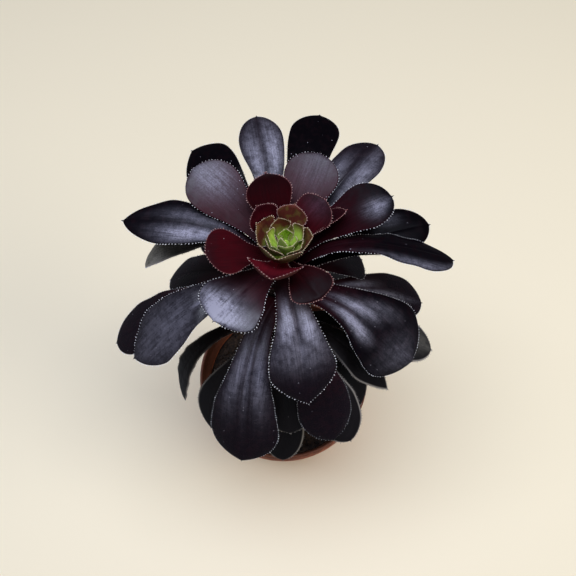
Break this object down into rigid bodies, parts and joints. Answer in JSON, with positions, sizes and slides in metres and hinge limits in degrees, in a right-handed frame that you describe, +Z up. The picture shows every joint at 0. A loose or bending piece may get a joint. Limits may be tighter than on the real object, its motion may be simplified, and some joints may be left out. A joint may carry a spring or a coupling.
{
  "type": "potted aeonium",
  "caption": "Tree aeonium with a dark purple rosette of fleshy leaves around a green heart, on a leafy woody stem in a round terracotta-coloured nursery pot.",
  "frame": {"origin": "middle of the pot's flat underside, on the surface it stands on", "axes": "+Z up along the pot's axis and the stem; the plant's front, the side the picture is taken from, faces -Y; +X is to the right seen from the front"},
  "size_m": [0.1312, 0.125, 0.197],
  "materials": {
    "pot_plastic": "satin",
    "potting_mix": "matte",
    "stem_bark": "matte",
    "heart_leaf": "satin",
    "inner_leaf": "satin",
    "rosette_leaf": "satin",
    "old_leaf": "matte"
  },
  "bodies": {
    "root": {"pot": "pot_plastic", "soil": "potting_mix", "stem": "stem_bark", "heart_bud": "heart_leaf", "heart_leaf_1": "heart_leaf", "heart_leaf_2": "heart_leaf", "heart_leaf_3": "heart_leaf", "heart_leaf_4": "heart_leaf", "heart_leaf_5": "heart_leaf", "heart_leaf_6": "heart_leaf", "heart_leaf_7": "heart_leaf", "heart_leaf_8": "heart_leaf", "heart_leaf_9": "heart_leaf", "heart_leaf_10": "heart_leaf", "heart_leaf_11": "heart_leaf", "heart_leaf_12": "heart_leaf", "inner_leaf_1": "inner_leaf", "inner_leaf_2": "inner_leaf", "inner_leaf_3": "inner_leaf", "inner_leaf_4": "inner_leaf", "inner_leaf_5": "inner_leaf", "inner_leaf_6": "inner_leaf", "inner_leaf_7": "inner_leaf", "inner_leaf_8": "inner_leaf", "rosette_leaf_1": "rosette_leaf", "rosette_leaf_2": "rosette_leaf", "rosette_leaf_3": "rosette_leaf", "rosette_leaf_4": "rosette_leaf", "rosette_leaf_5": "rosette_leaf", "rosette_leaf_6": "rosette_leaf", "rosette_leaf_7": "rosette_leaf", "rosette_leaf_8": "rosette_leaf", "rosette_leaf_9": "rosette_leaf", "rosette_leaf_10": "rosette_leaf", "rosette_leaf_11": "rosette_leaf", "rosette_leaf_12": "rosette_leaf", "middle_leaf_1": "rosette_leaf", "middle_leaf_2": "rosette_leaf", "middle_leaf_3": "rosette_leaf", "middle_leaf_4": "rosette_leaf", "middle_leaf_5": "rosette_leaf", "middle_leaf_6": "rosette_leaf", "middle_leaf_7": "rosette_leaf", "middle_leaf_8": "rosette_leaf", "middle_leaf_9": "rosette_leaf", "middle_leaf_10": "rosette_leaf", "middle_leaf_11": "rosette_leaf", "middle_leaf_12": "rosette_leaf", "lower_leaf_1": "old_leaf", "lower_leaf_2": "old_leaf", "lower_leaf_3": "old_leaf", "lower_leaf_4": "old_leaf", "lower_leaf_5": "old_leaf", "lower_leaf_6": "old_leaf", "lower_leaf_7": "old_leaf", "lower_leaf_8": "old_leaf", "lower_leaf_9": "old_leaf", "lower_leaf_10": "old_leaf", "lower_leaf_11": "old_leaf"}
  },
  "joints": []
}
